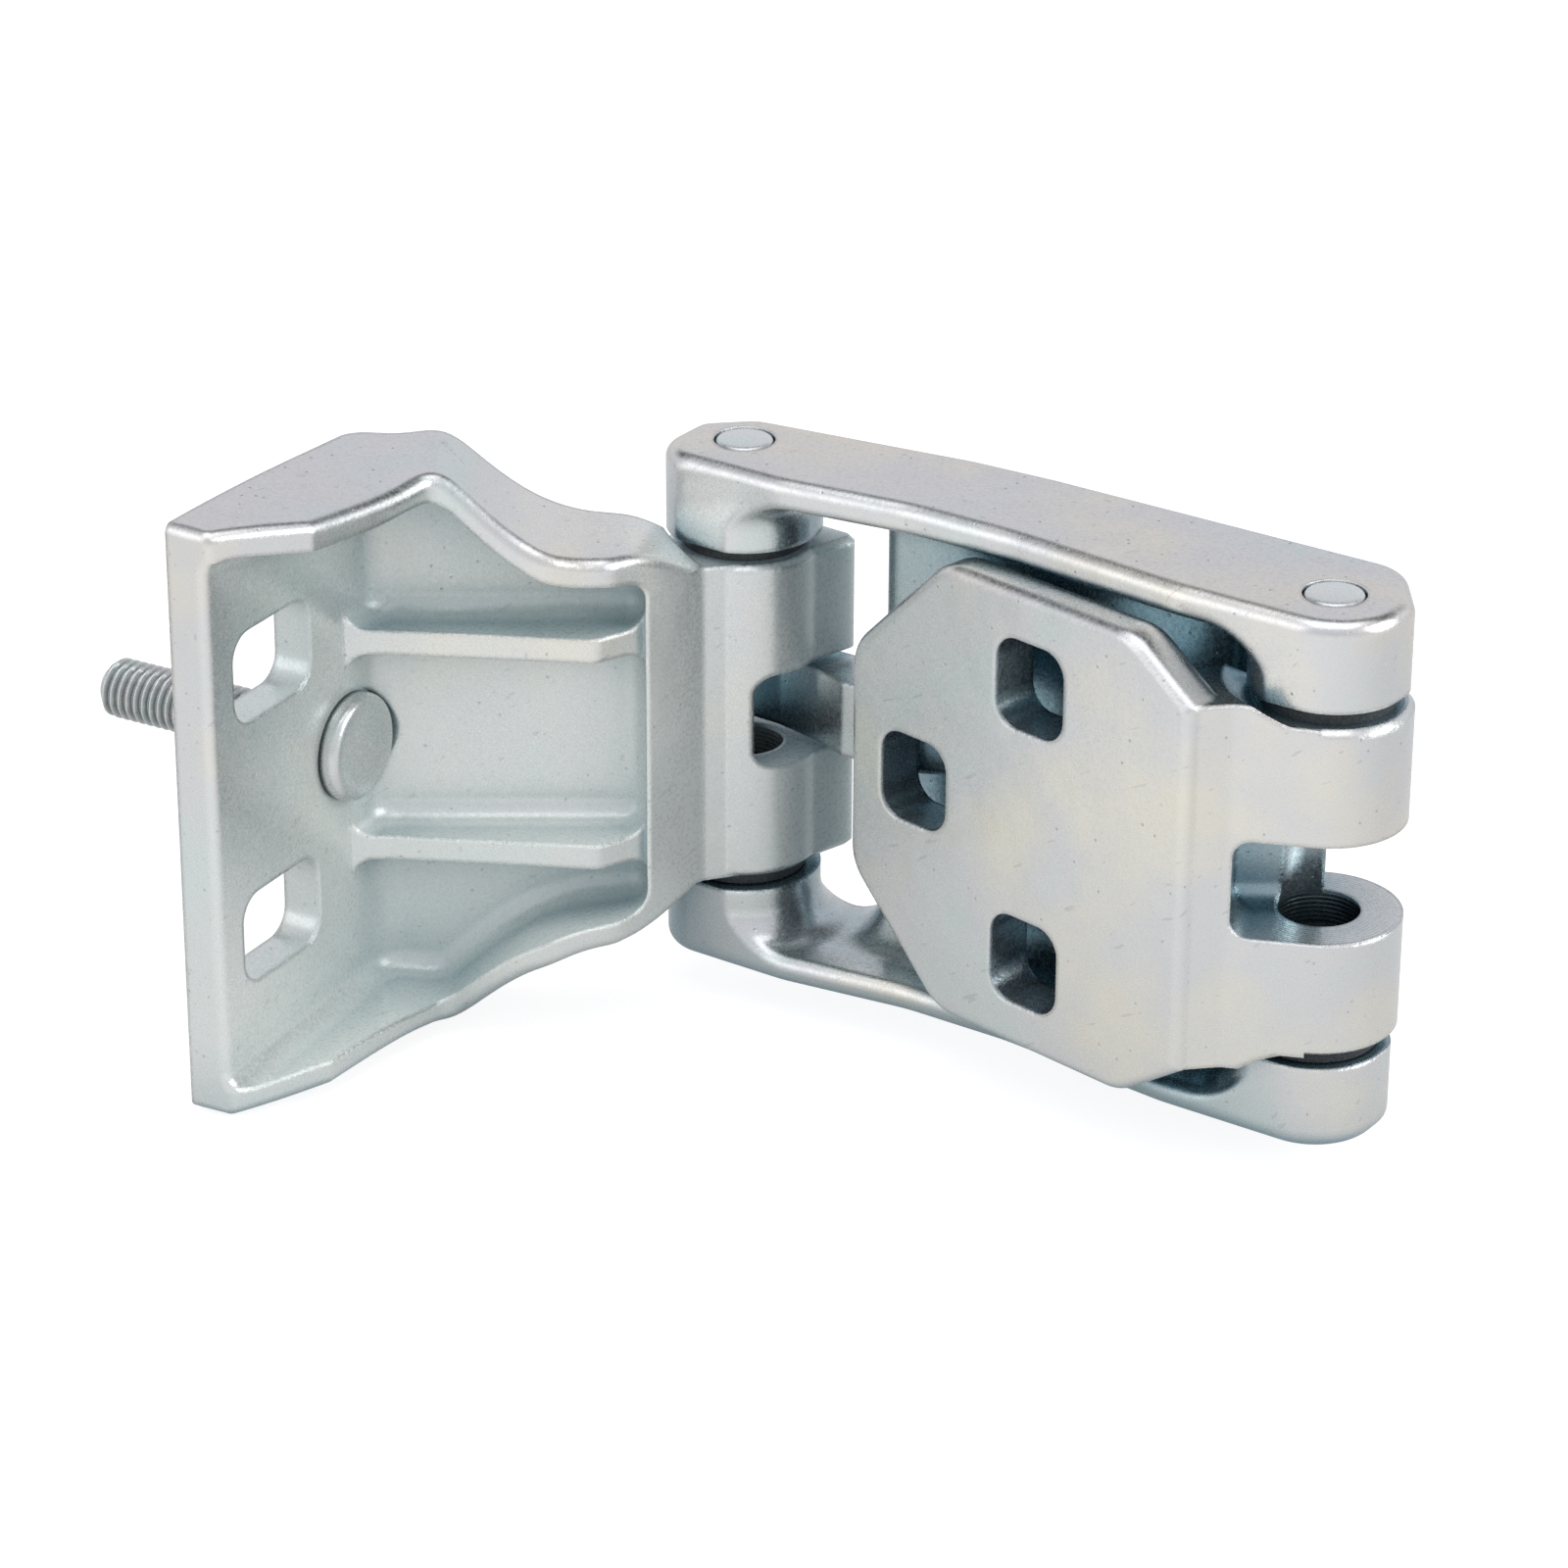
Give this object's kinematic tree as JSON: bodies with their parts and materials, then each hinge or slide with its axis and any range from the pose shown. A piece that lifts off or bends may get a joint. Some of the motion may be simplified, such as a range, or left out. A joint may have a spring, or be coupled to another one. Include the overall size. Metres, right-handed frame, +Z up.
{
  "type": "two-axis rear door hinge",
  "caption": "Two-axis rear door hinge: folded body bracket with a mounting stud, a link arm between two pinned knuckles, and a flat door leaf.",
  "frame": {"origin": "on the seat face of the body bracket, at the centre line of the mounting stud", "axes": "X runs along the seat face towards the hinge axes, Y goes into the door post along the stud, Z is up along both hinge axes"},
  "size_m": [0.0797, 0.1705, 0.0808],
  "materials": {
    "bracket_zinc": "zinc-plated forging",
    "stud_zinc": "zinc-plated stud",
    "arm_zinc": "zinc-plated forging",
    "leaf_zinc": "zinc-plated forging",
    "pin_steel": "zinc-plated riveted pin",
    "bush_liner": "dark lined thrust flange"
  },
  "bodies": {
    "bracket": {"body_bracket": "bracket_zinc", "mounting_stud": "stud_zinc", "upper_body_bush": "bush_liner", "lower_body_bush": "bush_liner"},
    "link": {"link_arm": "arm_zinc", "upper_body_pin": "pin_steel", "lower_body_pin": "pin_steel", "upper_door_pin": "pin_steel", "lower_door_pin": "pin_steel"},
    "leaf": {"door_leaf": "leaf_zinc", "upper_door_bush": "bush_liner", "lower_door_bush": "bush_liner"}
  },
  "joints": [
    {"name": "body_axis", "type": "hinge", "parent": "bracket", "child": "link", "pos_m": [0.0395, -0.0415, 0], "axis": [0, 0, 1], "range_deg": [0, 90]},
    {"name": "door_axis", "type": "hinge", "parent": "link", "child": "leaf", "pos_m": [0.03161, -0.12814, 0], "axis": [0, 0, 1], "range_deg": [0, 180]}
  ]
}
